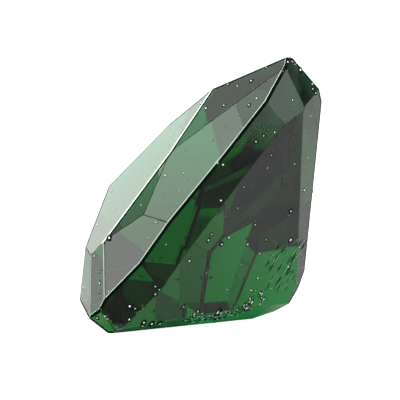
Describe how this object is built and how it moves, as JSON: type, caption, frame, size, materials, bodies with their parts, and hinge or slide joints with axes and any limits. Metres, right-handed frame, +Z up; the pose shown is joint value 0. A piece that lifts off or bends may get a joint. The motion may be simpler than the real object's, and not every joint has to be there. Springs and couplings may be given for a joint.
{
  "type": "faceted tsavorite garnet",
  "caption": "Loose green garnet cut as a rounded triangle, with a flat table, a steep girdle band and a shallow-pointed base, lying on one base facet.",
  "frame": {"origin": "on the floor, under the middle of the stone's box as it lies on its rest facet", "axes": "+Z up; +Y away from the pictured side and along the stone's longest side; +X to the right of that side"},
  "size_m": [0.0058, 0.0078, 0.0066],
  "materials": {
    "tsavorite": "clear green garnet, polished flat facets with small chips along the lower edges"
  },
  "bodies": {
    "root": {"gemstone": "tsavorite"}
  },
  "joints": []
}
